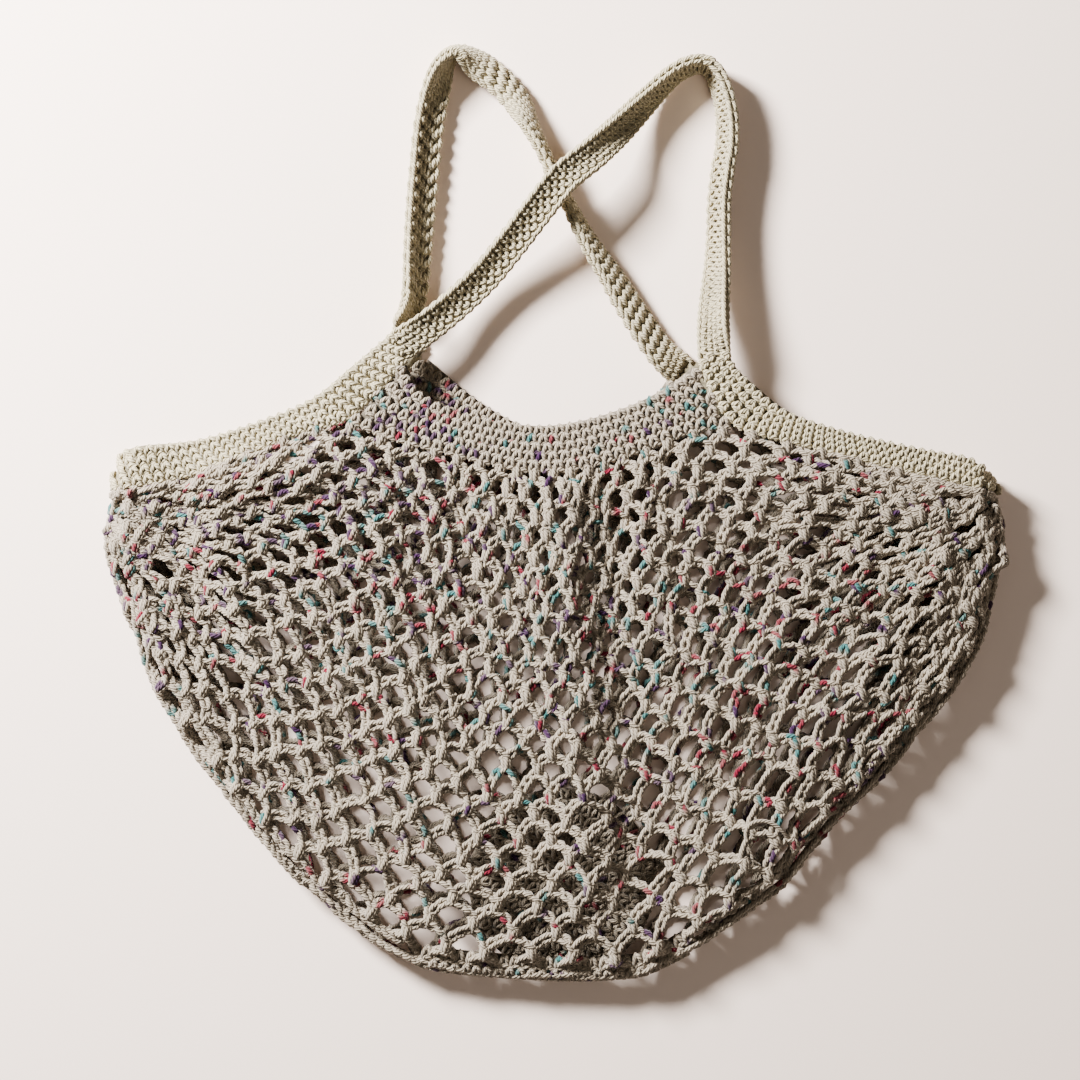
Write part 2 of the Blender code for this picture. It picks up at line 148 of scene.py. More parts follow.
LEFT_FRONT_EDGES = {
    "top": [(-82.5, 86.8), (-101.0, 71.3), (-121.5, 54.8), (-147.5, 43.8),
            (-176.5, 35.3), (-206.0, 32.3), (-214.5, 28.3)],
    "bottom": [(-74.0, 74.8), (-87.5, 59.8), (-104.0, 45.4), (-126.5, 39.8),
               (-151.5, 29.3), (-181.5, 18.0), (-221.5, 10.2)],
}
LEFT_BACK_EDGES = {
    "top": [(-79.2, 87.6), (-101.0, 71.3), (-121.5, 54.8), (-147.5, 43.8),
            (-176.5, 35.3), (-206.0, 32.3), (-214.5, 28.3)],
    "bottom": [(-65.6, 86.4), (-67.2, 78.0), (-82.5, 65.0), (-104.0, 51.6), (-126.5, 41.2),
               (-151.5, 29.3), (-181.5, 18.0), (-221.5, 10.2)],
}
RIGHT_FRONT_EDGES = {
    "top": [(87.0, 77.3), (90.5, 70.8), (98.5, 63.3), (117.5, 48.8),
            (145.5, 38.8), (183.5, 30.3), (205.5, 26.3), (216.0, 17.8)],
    "bottom": [(72.0, 75.8), (77.5, 60.8), (89.5, 42.6), (120.0, 34.5),
               (152.0, 26.4), (183.5, 18.9), (205.0, 14.2), (221.5, 9.8)],
}
RIGHT_BACK_EDGES = {
    "top": [(69.1, 75.7), (84.0, 72.5), (98.5, 63.3), (117.5, 48.8),
            (145.5, 38.8), (183.5, 30.3), (205.5, 26.3), (216.0, 17.8)],
    "bottom": [(59.3, 65.6), (72.0, 54.4), (91.5, 42.2), (120.0, 34.5),
               (152.0, 26.4), (183.5, 18.9), (205.0, 14.2), (221.5, 9.8)],
}
FRONT_FOLDS = [
    {"start": (3, 2), "end": (17, -190), "half_width": 12, "rise": 7.0},
    {"start": (27, -8), "end": (40, -180), "half_width": 12, "rise": -4.5},
    {"start": (-165, 12), "end": (-112, 22), "half_width": 13, "rise": 6.0},
    {"start": (-188, -8), "end": (-158, -92), "half_width": 14, "rise": -4.5},
    {"start": (-98, 10), "end": (-66, -150), "half_width": 17, "rise": 4.0},
    {"start": (98, 20), "end": (178, -2), "half_width": 13, "rise": 6.0},
    {"start": (192, -22), "end": (92, -180), "half_width": 11, "rise": 5.0},
    {"start": (150, -32), "end": (70, -120), "half_width": 12, "rise": 3.5},
]

# The small gathers of the net below the neck band, which the solid does not have.
GATHERS = [
    {"start": (-86, 24), "end": (-82, -28), "half_width": 6, "rise": 3.5},
    {"start": (-60, 12), "end": (-52, -34), "half_width": 6, "rise": 3.5},
    {"start": (-36, 8), "end": (-30, -46), "half_width": 5, "rise": 3.0},
    {"start": (-16, 4), "end": (-11, -34), "half_width": 5, "rise": 3.0},
    {"start": (42, 16), "end": (52, -40), "half_width": 5, "rise": 3.5},
    {"start": (62, 22), "end": (78, -30), "half_width": 6, "rise": 3.5},
    {"start": (-170, -14), "end": (-150, -66), "half_width": 7, "rise": 3.0},
    {"start": (128, 14), "end": (120, -44), "half_width": 7, "rise": 3.0},
]

# Handle routes: place, roll from flat at 0 to on its edge at 90, and lift of the lowest edge.
BACK_HANDLE = [
    (-72.3, 89.4, 0, 0.0), (-72.7, 94.0, 10, 0.0), (-72.6, 101.0, 48, 0.0),
    (-71.0, 111.0, 50, 0.0), (-69.5, 131.0, 40, 0.0), (-68.0, 150.0, 34, 0.0),
    (-66.0, 171.0, 30, 0.0), (-64.0, 191.0, 30, 0.0), (-61.0, 208.5, 36, 0.0),
    (-57.5, 222.0, 62, 0.0), (-51.5, 230.0, 92, 0.0), (-43.5, 229.5, 122, 0.0),
    (-35.0, 223.0, 150, 0.0), (-25.0, 215.0, 153, 0.0), (-17.5, 206.0, 143, 0.0),
    (-11.0, 194.5, 112, 0.0), (-4.0, 179.5, 94, 0.0), (3.0, 164.5, 90, 0.0),
    (10.0, 151.0, 98, 0.0), (19.5, 134.5, 115, 0.0), (28.5, 121.0, 130, 0.0),
    (36.5, 107.5, 141, 0.0), (45.5, 93.0, 150, 0.0), (54.5, 80.0, 158, 0.0),
    (63.3, 71.5, 180, 0.0),
]
FRONT_HANDLE = [
    (-77.5, 81.5, 0, 16.0), (-65.0, 90.5, 12, 12.5), (-49.5, 103.5, 16, 8.5),
    (-35.0, 117.5, 16, 8.0), (-22.5, 132.0, 14, 11.5), (-11.5, 145.5, 10, 16.0),
    (-2.5, 156.5, 5, 19.0), (5.5, 165.8, 4, 19.5), (18.5, 177.0, 14, 16.5),
    (30.0, 189.0, 32, 9.5), (40.5, 201.0, 48, 3.5), (49.5, 211.0, 62, 1.0),
    (59.5, 220.5, 72, 0.0), (69.5, 225.5, 77, 0.0), (78.5, 223.5, 77, 0.0),
    (84.5, 215.0, 72, 0.0), (88.0, 200.0, 66, 0.0), (88.5, 186.0, 62, 0.0),
    (86.5, 173.0, 60, 0.0), (84.5, 157.0, 60, 0.0), (84.0, 138.0, 58, 0.5),
    (83.0, 121.0, 50, 3.0), (81.0, 104.0, 36, 8.0), (79.5, 90.0, 18, 13.0),
    (79.5, 78.4, 0, 16.0),
]

# Stitch shapes, in millimetres: along the row or rope, across it, and out from the cloth.
CHAIN_LINK = [
    (-0.6, 0.2, -0.9), (1.6, 1.3, 0.35), (4.1, 1.6, 0.85), (6.1, 0.6, 0.1),
    (6.1, -0.6, 0.1), (4.1, -1.6, 0.85), (1.6, -1.3, 0.35), (-0.6, -0.2, -0.9),
]
PLAIN_LINK = [
    (-0.3, 0.2, -0.7), (2.4, 1.25, 0.4), (5.4, 0.9, 0.4), (5.4, -0.9, 0.4), (2.4, -1.25, 0.4),
    (-0.3, -0.2, -0.7),
]
POST_LEGS = [
    (-1.0, 3.2, 0.3), (-1.5, 0.9, 1.3), (-1.2, -2.2, 1.1), (0.0, -3.7, -0.4),
    (1.2, -2.2, 1.1), (1.5, 0.9, 1.3), (1.0, 3.2, 0.3),
]
POST_MIDDLE = [(0.1, 3.4, 0.5), (0.2, 1.0, 1.9), (-0.1, -2.0, 1.7), (0.0, -3.8, 0.2)]
POST_HEAD = [
    (-2.6, 2.2, -0.3), (-1.2, 3.3, 0.9), (1.2, 3.0, 1.0), (2.6, 2.2, -0.2), (1.0, 1.7, -0.8),
    (-1.0, 1.7, -0.8),
]
CLOSE_LEGS = [
    (-1.8, -2.7, -0.6), (-1.6, -0.9, 0.85), (-0.8, 1.3, 1.15), (0.05, 2.4, 0.5),
    (0.95, 1.4, 1.1), (1.7, -0.6, 0.8), (2.1, -2.4, -0.6),
]
CLOSE_HEAD = [(-1.3, -3.6, -0.7), (-0.2, -2.5, 0.45), (1.1, -2.6, 0.5), (2.7, -3.7, -0.7)]
STRAP_LEGS = [
    (-1.6, 2.5, -0.4), (-1.45, 1.0, 0.9), (-0.75, -1.3, 1.1), (0.0, -2.5, 0.2),
    (0.75, -1.3, 1.1), (1.45, 1.0, 0.9), (1.6, 2.5, -0.4),
]

# The loose end of yarn on the net, from where it comes out of a knot to its frayed end.
TAIL = [
    (117.0, -163.5, 21.0), (112.0, -157.5, 24.5), (105.5, -153.3, 25.5), (98.5, -153.6, 25.5),
    (94.8, -158.0, 25.0), (95.6, -165.0, 24.5), (98.0, -171.5, 24.0),
]
FRAY_SPREADS = (-1.1, -0.5, 0.1, 0.6, 1.2)

# Yarn colours, in linear values.
ECRU = (0.375, 0.322, 0.258)
CREAM = (0.52, 0.462, 0.325)
TEAL = (0.055, 0.17, 0.17)
PINK = (0.20, 0.010, 0.032)
PURPLE = (0.046, 0.010, 0.062)
DYE_REGIONS = [
    {"x": -102, "y": 10, "radius": 45, "dyes": {"purple": 0.22, "teal": 0.14, "pink": 0.04}},
    {"x": -62, "y": -32, "radius": 45, "dyes": {"pink": 0.20, "purple": 0.05, "teal": 0.05}},
    {"x": 60, "y": 58, "radius": 26, "dyes": {"teal": 0.26, "purple": 0.03, "pink": 0.02}},
    {"x": -62, "y": 52, "radius": 30, "dyes": {"purple": 0.20, "pink": 0.12, "teal": 0.01}},
    {"x": 100, "y": -90, "radius": 60, "dyes": {"pink": 0.12, "purple": 0.10, "teal": 0.07}},
    {"x": -190, "y": -20, "radius": 50, "dyes": {"pink": 0.06, "purple": 0.12, "teal": 0.03}},
    {"x": 20, "y": -60, "radius": 40, "dyes": {"teal": 0.14, "purple": 0.06, "pink": 0.05}},
]
REGION_SHARE = 0.8
EVERYWHERE = {"teal": 0.03, "pink": 0.035, "purple": 0.035}
DYES = {"teal": TEAL, "pink": PINK, "purple": PURPLE}

# The room: a pale floor, a low window at the upper left and a weak lamp overhead.
FLOOR_COLOUR = (0.97, 0.84, 0.77, 1.0)
FLOOR_HALF = 12.0
ROOM_COLOUR = (1.0, 0.87, 0.74, 1.0)
ROOM_STRENGTH = 0.11
CAMERA_PLACE = (-0.007, -0.01425, 1.21)
LIGHTS = {
    "window_light": {
        "place": (-0.95, 0.78, 0.74), "size": 0.34, "power": 92, "colour": (1.0, 0.975, 0.94),
    },
    "room_light": {
        "place": (0.7, -0.4, 1.6), "size": 1.0, "power": 4, "colour": (1.0, 0.92, 0.82),
    },
}
LIGHT_AIM = (0.0, -0.03, 0.0)

rng = random.Random(7)


def smooth_through(rows, count, fineness=24):
    """count places, evenly spaced along a Catmull-Rom curve through the rows."""
    rows = np.array(rows, float)
    padded = np.vstack([2 * rows[0] - rows[1], rows, 2 * rows[-1] - rows[-2]])
    dense = []
    for before, start, end, after in zip(padded, padded[1:], padded[2:], padded[3:]):
        for t in np.linspace(0, 1, fineness, endpoint=False):
            dense.append(
                start
                + 0.5 * t * (end - before)
                + t * t * (before - 2.5 * start + 2 * end - 0.5 * after)
                + t**3 * (1.5 * (start - end) + 0.5 * (after - before))
            )
    dense = np.array(dense + [rows[-1]])
    steps = np.linalg.norm(np.diff(dense[:, :3], axis=0), axis=1)
    along = np.concatenate([[0], np.cumsum(steps)])
    places = np.linspace(0, along[-1], count)
    return np.stack([np.interp(places, along, dense[:, k]) for k in range(rows.shape[1])], axis=1)


def unit(vector):
    """The vector's direction, one long."""
    return vector / max(np.linalg.norm(vector), 1e-9)


def distance_to_lines(x, y, line):
    """Shortest distance from a place to a line of points."""
    place = np.array([x, y])
    starts, spans = line[:-1], np.diff(line, axis=0)
    share = ((place - starts) * spans).sum(1) / np.maximum((spans**2).sum(1), 1e-9)
    nearest = starts + spans * np.clip(share, 0, 1)[:, None]
    return float(np.linalg.norm(nearest - place, axis=1).min())


def whole_outline(inset):
    """The bag's folded outline from its left corner to its right one, moved in by inset."""
    lines = [smooth_through(OUTLINE_LEFT, 100), smooth_through(OUTLINE_BOTTOM, 100)]
    lines.append(smooth_through(OUTLINE_RIGHT, 100)[::-1])
    whole = np.vstack([lines[0], lines[1][1:], lines[2][1:]])
    ahead = np.gradient(whole, axis=0)
    ahead /= np.linalg.norm(ahead, axis=1)[:, None]
    return whole + inset * np.stack([-ahead[:, 1], ahead[:, 0]], axis=1)


FOLD_LINE = np.vstack([
    [LEFT_FRONT_EDGES["top"][-1]], whole_outline(0.0)[::3], [RIGHT_FRONT_EDGES["top"][-1]]
])
ROPE_LINE = whole_outline(ROPE_INSET)


def front_rise(x, y, folds=FRONT_FOLDS):
    """How far the front layer's folds lift it above FRONT_HEIGHT."""
    rise = 0.0
    for fold in folds:
        distance = distance_to_lines(x, y, np.array([fold["start"], fold["end"]], float))
        rise += fold["rise"] * math.exp(-((distance / fold["half_width"]) ** 2))
    return rise


def layer_height(x, y, front, thickness, line=FOLD_LINE, radius=FOLD_RADIUS):
    """Height of a layer's middle: it turns down or up to FOLD_HEIGHT at the fold line."""
    share = min(1.0, distance_to_lines(x, y, line) / radius)
    share = math.sin(share * math.pi / 2)
    level = FRONT_HEIGHT + front_rise(x, y) if front else thickness / 2
    return FOLD_HEIGHT + (level - FOLD_HEIGHT) * share


def front_level(x, y):
    """Height of the middle of the close cloth at the front."""
    return layer_height(x, y, True, BAND_THICKNESS)


def back_level(x, y):
    """Height of the middle of the close cloth at the back."""
    return layer_height(x, y, False, BAND_THICKNESS)


def measured(line):
    """Distance from the start of a line to each of its points."""
    steps = np.linalg.norm(np.diff(line, axis=0), axis=1)
    return np.concatenate([[0], np.cumsum(steps)])


def at_length(line, along, lengths):
    """The places at given lengths along a line."""
    lengths = np.atleast_1d(lengths)
    return np.stack([np.interp(lengths, along, line[:, k]) for k in range(line.shape[1])], axis=1)


class Yarn:
    """The centrelines of one piece's yarn, with the dye of each of their points."""

    def __init__(self):
        self.points = []
        self.edges = []
        self.dyes = []
        self.along = []

    def lay(self, line, dyes):
        """Adds one strand, with a colour for each of its points."""
        first = len(self.points)
        self.points.extend(line.tolist())
        self.dyes.extend(dyes)
        self.edges.extend((first + k, first + k + 1) for k in range(len(line) - 1))
        self.along.extend((measured(line) + rng.uniform(0, 6)).tolist())


def shaded(colour):
    """A colour with the small difference from one strand to the next."""
    shade = rng.uniform(0.93, 1.05)
    return tuple(min(1.0, part * shade) for part in colour) + (1.0,)


def fleck_at(x, y):
    """The dye that a strand gets at a place of the bag, or nothing."""
    chances = dict(EVERYWHERE)
    for region in DYE_REGIONS:
        away_squared = (x - region["x"]) ** 2 + (y - region["y"]) ** 2
        near = math.exp(-(away_squared / region["radius"] ** 2))
        for dye, chance in region["dyes"].items():
            chances[dye] += REGION_SHARE * chance * near
    draw = rng.random()
    for dye, chance in chances.items():
        draw -= chance
        if draw < 0:
            return DYES[dye]
    return None


def speckled_dyes(line):
    """Colours of a strand's points: ecru, some with one dyed fleck a stitch long."""
    plain = shaded(ECRU)
    dyes = [plain] * len(line)
    fleck = fleck_at(line[0][0], line[0][1])
    if fleck:
        strength = rng.uniform(0.8, 1.0)
        tint = tuple(p + (f - p) * strength for p, f in zip(plain, fleck)) + (1.0,)
        length = max(2, len(line) // 2)
        first = rng.randrange(0, len(line) - length + 1)
        for k in range(first, first + length):
            dyes[k] = tint
    return dyes


def cream_dyes(line):
    """Colours of a strand's points where the yarn is plain cream."""
    return [shaded(CREAM)] * len(line)


def stitched(shape, origin, along, across, out, scale=(1.0, 1.0, 1.0)):
    """A stitch's points set in its own directions."""
    shape = np.array(shape) * np.array(scale)
    return origin + shape[:, :1] * along + shape[:, 1:2] * across + shape[:, 2:] * out


def spun(name, yarn, sides, material, radius=YARN_RADIUS):
    """The yarn's centrelines given their round section, as one mesh piece."""
    lines = bpy.data.meshes.new(name + "_lines")
    points = np.array(yarn.points)
    points[:, 2] = np.maximum(points[:, 2], radius)
    lines.from_pydata((points * MM).tolist(), yarn.edges, [])
    dye = lines.attributes.new("dye", "FLOAT_COLOR", "POINT")
    dye.data.foreach_set("color", np.array(yarn.dyes, np.float32).ravel())
    along = lines.attributes.new("along", "FLOAT", "POINT")
    along.data.foreach_set("value", np.array(yarn.along, np.float32))
    carrier = bpy.data.objects.new(name + "_lines", lines)
    bpy.context.scene.collection.objects.link(carrier)
    section = carrier.modifiers.new("section", "NODES")
    section.node_group = round_section(sides, radius * MM)
    bpy.context.view_layer.update()
    graph = bpy.context.evaluated_depsgraph_get()
    mesh = bpy.data.meshes.new_from_object(carrier.evaluated_get(graph))
    bpy.data.objects.remove(carrier, do_unlink=True)
    mesh.materials.clear()
    mesh.materials.append(material)
    mesh.polygons.foreach_set("use_smooth", [True] * len(mesh.polygons))
    piece = bpy.data.objects.new(name, mesh)
    bpy.context.scene.collection.objects.link(piece)
    return piece


def round_section(sides, radius):
    """Nodes that sweep a round section along every line and note how far round each corner is."""
    tree = bpy.data.node_groups.new("yarn_section", "GeometryNodeTree")
    tree.interface.new_socket("Geometry", in_out="INPUT", socket_type="NodeSocketGeometry")
    tree.interface.new_socket("Geometry", in_out="OUTPUT", socket_type="NodeSocketGeometry")
    nodes, links = tree.nodes, tree.links
    lines = nodes.new("NodeGroupInput")
    swept = nodes.new("NodeGroupOutput")
    to_curve = nodes.new("GeometryNodeMeshToCurve")
    circle = nodes.new("GeometryNodeCurvePrimitiveCircle")
    circle.inputs["Resolution"].default_value = sides
    circle.inputs["Radius"].default_value = radius
    place = nodes.new("GeometryNodeInputPosition")
    parts = nodes.new("ShaderNodeSeparateXYZ")
    links.new(place.outputs["Position"], parts.inputs[0])
    section = circle.outputs["Curve"]
    for name, part in (("around_x", "X"), ("around_y", "Y")):
        share = nodes.new("ShaderNodeMath")
        share.operation = "DIVIDE"
        share.inputs[1].default_value = radius
        links.new(parts.outputs[part], share.inputs[0])
        noted = nodes.new("GeometryNodeStoreNamedAttribute")
        noted.data_type = "FLOAT"
        noted.domain = "POINT"
        noted.inputs["Name"].default_value = name
        links.new(section, noted.inputs["Geometry"])
        links.new(share.outputs[0], noted.inputs["Value"])
        section = noted.outputs["Geometry"]
    sweep = nodes.new("GeometryNodeCurveToMesh")
    sweep.inputs["Fill Caps"].default_value = True
    links.new(lines.outputs[0], to_curve.inputs["Mesh"])
    links.new(to_curve.outputs["Curve"], sweep.inputs["Curve"])
    links.new(section, sweep.inputs["Profile Curve"])
    links.new(sweep.outputs["Mesh"], swept.inputs[0])
    return tree


def plied_cotton(name, roughness, sheen):
    """Plied cotton yarn: its dye, the twist of its plies with painted shade in the grooves between
    them, and its fuzz.
    """
    material = bpy.data.materials.new(name)
    material.use_nodes = True
    nodes, links = material.node_tree.nodes, material.node_tree.links
    shader = nodes["Principled BSDF"]
    shader.inputs["Roughness"].default_value = roughness
    shader.inputs["Sheen Weight"].default_value = sheen
    shader.inputs["Sheen Roughness"].default_value = 0.5
    shader.inputs["Specular IOR Level"].default_value = 0.25

    def read(attribute):
        node = nodes.new("ShaderNodeAttribute")
        node.attribute_name = attribute
        return node.outputs["Color" if attribute == "dye" else "Fac"]

    def sum_up(operation, first, second=None):
        node = nodes.new("ShaderNodeMath")
        node.operation = operation
        for socket, value in zip(node.inputs, (first, second)):
            if value is None:
                continue
            if isinstance(value, (int, float)):
                socket.default_value = value
            else:
                links.new(value, socket)
        return node.outputs[0]

    around = sum_up("ARCTAN2", read("around_y"), read("around_x"))
    twist = sum_up("ADD", sum_up("MULTIPLY", around, 4), sum_up("MULTIPLY", read("along"), 3.3))
    ply = sum_up("ABSOLUTE", sum_up("SINE", sum_up("MULTIPLY", twist, 0.5)))
    place = nodes.new("ShaderNodeTexCoord").outputs["Object"]
    fuzz = nodes.new("ShaderNodeTexNoise")
    fuzz.inputs["Scale"].default_value = 1900
    fuzz.inputs["Detail"].default_value = 3
    links.new(place, fuzz.inputs["Vector"])
    wear = nodes.new("ShaderNodeTexNoise")
    wear.inputs["Scale"].default_value = 60
    wear.inputs["Detail"].default_value = 2
    links.new(place, wear.inputs["Vector"])

    depth = sum_up("ADD", ply, sum_up("MULTIPLY", fuzz.outputs["Fac"], 0.5))
    bump = nodes.new("ShaderNodeBump")
    bump.inputs["Strength"].default_value = 0.75
    bump.inputs["Distance"].default_value = 0.0006
    links.new(depth, bump.inputs["Height"])
    links.new(bump.outputs["Normal"], shader.inputs["Normal"])

    # Painted shade: the colour falls to 0.62 of the dye in the grooves between the plies.
    painted_ply_shade = nodes.new("ShaderNodeMapRange")
    painted_ply_shade.inputs["To Min"].default_value = 0.62
    painted_ply_shade.inputs["To Max"].default_value = 1.04
    links.new(ply, painted_ply_shade.inputs["Value"])
    patch = nodes.new("ShaderNodeMapRange")
    patch.inputs["To Min"].default_value = 0.86
    patch.inputs["To Max"].default_value = 1.1
    links.new(wear.outputs["Fac"], patch.inputs["Value"])
    # The painted ply shade times the random wear patches.
    shade = sum_up("MULTIPLY", painted_ply_shade.outputs[0], patch.outputs[0])
    colour = nodes.new("ShaderNodeVectorMath")
    colour.operation = "SCALE"
    links.new(read("dye"), colour.inputs[0])
    links.new(shade, colour.inputs["Scale"])
    links.new(colour.outputs[0], shader.inputs["Base Color"])
    return material


def close_cloth(name, colour):
    """The cloth behind the close stitches, with their rows as a low pattern, coloured darker than
    its yarn as painted shade between and under the stitches.
    """
    material = bpy.data.materials.new(name)
    material.use_nodes = True
    nodes, links = material.node_tree.nodes, material.node_tree.links
    shader = nodes["Principled BSDF"]
    shader.inputs["Roughness"].default_value = 0.95
    place = nodes.new("ShaderNodeTexCoord").outputs["Object"]
    cells = nodes.new("ShaderNodeTexVoronoi")
    cells.inputs["Scale"].default_value = 330
    links.new(place, cells.inputs["Vector"])
    # Painted shade: the cloth is 0.75 of its yarn's colour at the cell middles and 0.30 at their
    # edges, for the shade in the hollows between the stitches.
    painted_stitch_shade = nodes.new("ShaderNodeValToRGB")
    painted_stitch_shade.color_ramp.elements[0].color = tuple(0.75 * part for part in colour) + (1.0,)
    painted_stitch_shade.color_ramp.elements[1].color = tuple(0.30 * part for part in colour) + (1.0,)
    painted_stitch_shade.color_ramp.elements[1].position = 0.75
    links.new(cells.outputs["Distance"], painted_stitch_shade.inputs["Fac"])
    links.new(painted_stitch_shade.outputs["Color"], shader.inputs["Base Color"])
    bump = nodes.new("ShaderNodeBump")
    bump.invert = True
    bump.inputs["Strength"].default_value = 0.8
    bump.inputs["Distance"].default_value = 0.001
    links.new(cells.outputs["Distance"], bump.inputs["Height"])
    links.new(bump.outputs["Normal"], shader.inputs["Normal"])
    return material


# The camera is straight above, as the photograph's was.
camera_data = bpy.data.cameras.new("camera")
camera_data.lens = 80
camera_data.sensor_width = 36
camera_data.clip_end = 10
camera = bpy.data.objects.new("camera", camera_data)
camera.location = CAMERA_PLACE
bpy.context.scene.collection.objects.link(camera)
bpy.context.scene.camera = camera

speckled_yarn = plied_cotton("speckled_yarn", 0.9, 0.25)
cream_yarn = plied_cotton("cream_yarn", 0.88, 0.25)
# The cloth finishes carry painted shade for the hollows between and under the stitches.
speckled_cloth = close_cloth("speckled_cloth", ECRU)
cream_cloth = close_cloth("cream_cloth", CREAM)


def loose_tail():
    """The frayed end of yarn that lies on the lower right of the net."""
    path = smooth_through(TAIL, 26)
    tail = Yarn()
    tail.lay(path, [shaded(ECRU)] * len(path))
    tail_piece = spun("yarn_tail", tail, 8, speckled_yarn, TAIL_RADIUS)
    fray = Yarn()
    end, ahead = path[-1], unit(path[-1] - path[-3])
    side = np.array([-ahead[1], ahead[0], 0.0])
    for spread in FRAY_SPREADS:
        reach = rng.uniform(3.5, 5.5)
        rise = np.array([0, 0, rng.uniform(-1.2, 0.8)])
        rows = [
            end - 1.5 * ahead, end + 0.4 * reach * ahead + 0.5 * spread * side,
            end + reach * ahead + reach * 0.45 * spread * side + rise,
        ]
        ply = smooth_through(rows, 7)
        fray.lay(ply, [shaded(ECRU)] * len(ply))
    fray_piece = spun("yarn_tail_fray", fray, 4, speckled_yarn, PLY_RADIUS)
    for piece in (tail_piece, fray_piece):
        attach(piece, "root")


loose_tail()


def evened(plan):
    """The inner places of a drawn net moved to the mean of their neighbours, again and again."""
    for step in range(EVENING_STEPS):
        mean = (plan[:-2, 1:-1] + plan[2:, 1:-1] + plan[1:-1, :-2] + plan[1:-1, 2:]) / 4
        plan[1:-1, 1:-1] = mean
    return plan


def net_plan(rim):
    """Places of one layer's net: a row for each round from the rim, two columns for each arch.

    The rounds lie along the folded outline, and the columns fan out from the rim to it.
    """
    rows, columns = ROUNDS + 1, 2 * COLUMNS + 1
    across = np.linspace(0, 1, columns)
    down = np.linspace(0, 1, rows)
    down = down + ROUND_CROWDING / math.pi * np.sin(math.pi * down)
    along = measured(ROPE_LINE)
    upper = smooth_through(rim, 300) - np.array([0.0, RIM_DROP])
    upper[0], upper[-1] = ROPE_LINE[0], ROPE_LINE[-1]
    upper_along = measured(upper)
    crowded = across + CENTRE_CROWDING / (2 * math.pi) * np.sin(2 * math.pi * across)
    short, long = CORNER_LENGTHS["rim"], CORNER_LENGTHS["outline"]
    rim_edge = at_length(upper, upper_along, short + crowded * (upper_along[-1] - 2 * short))
    base_edge = at_length(ROPE_LINE, along, long + across * (along[-1] - 2 * long))
    corner = at_length(upper, upper_along, np.linspace(short, 0, 20))
    left = np.vstack([corner, at_length(ROPE_LINE, along, np.linspace(0, long, 40))[1:]])
    corner = at_length(upper, upper_along, upper_along[-1] - np.linspace(short, 0, 20))
    side = at_length(ROPE_LINE, along, along[-1] - np.linspace(0, long, 40))
    right = np.vstack([corner, side[1:]])
    left_edge = at_length(left, measured(left), down * measured(left)[-1])
    right_edge = at_length(right, measured(right), down * measured(right)[-1])
    u, v = across[None, :, None], down[:, None, None]
    lower = np.concatenate([v**GATHER_LENGTH, v], axis=2)
    plan = (1 - lower) * rim_edge[None] + lower * base_edge[None]
    plan = plan + (1 - u) * left_edge[:, None] + u * right_edge[:, None]
    plan = plan - (
        (1 - u) * (1 - lower) * rim_edge[0] + u * (1 - lower) * rim_edge[-1]
        + (1 - u) * lower * base_edge[0] + u * lower * base_edge[-1]
    )
    return evened(plan)


PLANS = {True: net_plan(FRONT_RIM), False: net_plan(BACK_RIM)}
BAG_MIDDLE = np.array([0.0, -60.0])


def net_place(front, k, row):
    """The place, the way out of the cloth and the way to the rim at a knot of the net."""
    plan = PLANS[front]
    x, y = plan[row, k]
    z = layer_height(x, y, front, NET_THICKNESS, ROPE_LINE, FOLD_RADIUS - 1)
    if front:
        z += front_rise(x, y, GATHERS)
    before, after = plan[max(row - 1, 0), k], plan[min(row + 1, ROUNDS), k]
    to_rim = np.append(unit(before - after), 0.0)
    turn = min(1.0, distance_to_lines(x, y, ROPE_LINE) / (FOLD_RADIUS - 1)) * math.pi / 2
    outward = np.append(unit(plan[row, k] - BAG_MIDDLE) * math.cos(turn), 0.0)
    outward[2] = math.sin(turn) * (1 if front else -1)
    return np.array([x, y, z]), outward, to_rim


def in_base_round(place, spare=0.0):
    """True for a place over the closely worked round, whose rim is moved out by spare."""
    away = math.hypot(place[0] - BASE_ROUND["x"], place[1] - BASE_ROUND["y"])
    return away < BASE_ROUND["radius"] + spare


def work_knots():
    """Every knot of the net, by layer, column and round, with its own small shift."""
    knots = {}
    for front in (True, False):
        for row in range(ROUNDS + 1):
            for k in range(row % 2, 2 * COLUMNS + 1, 2):
                place, outward, to_rim = net_place(front, k, row)
                if row == ROUNDS and not front:
                    knots[front, k, row] = knots[True, k, row]
                    continue
                free = EDGE_JITTER if row in (0, ROUNDS) or k in (0, 2 * COLUMNS) else 1.0
                shift = np.array([rng.gauss(0, KNOT_JITTER) * free for axis in range(2)] + [0.0])
                lift = rng.uniform(-0.7, 0.9) * free
                knots[front, k, row] = (place + shift + lift * outward, outward, to_rim)
    return knots


def feet_of(knots, front, k, row):
    """The two knots of the round below that an arch stands on; at the net's ends both are one."""
    return [knots[front, min(max(k + side, row % 2 == 0), 2 * COLUMNS - (row % 2 == 0)), row + 1]
            for side in (-1, 1)]


def arch_line(knots, front, k, row):
    """An arch of chains from one knot over the post of the next round to the other knot."""
    apex, apex_out, apex_rim = knots[front, k, row]
    ends = feet_of(knots, front, k, row)
    crown = apex - KNOT_HALF * apex_rim - KNOT_DEPTH * apex_out
    line = [crown]
    for side, (place, out, to_rim) in zip((0, 1), ends):
        foot = place + KNOT_HALF * to_rim + KNOT_DEPTH * out
        middle = (foot + crown) / 2
        hollow = unit(middle - (crown - 9.0 * apex_rim))
        middle = middle + rng.uniform(0.6, 2.0) * hollow
        middle = middle + rng.uniform(-0.9, 1.1) * (out + apex_out) / 2
        part = [foot, middle]
        line = part + line if side == 0 else line + part[::-1]
    return smooth_through(line, 40)


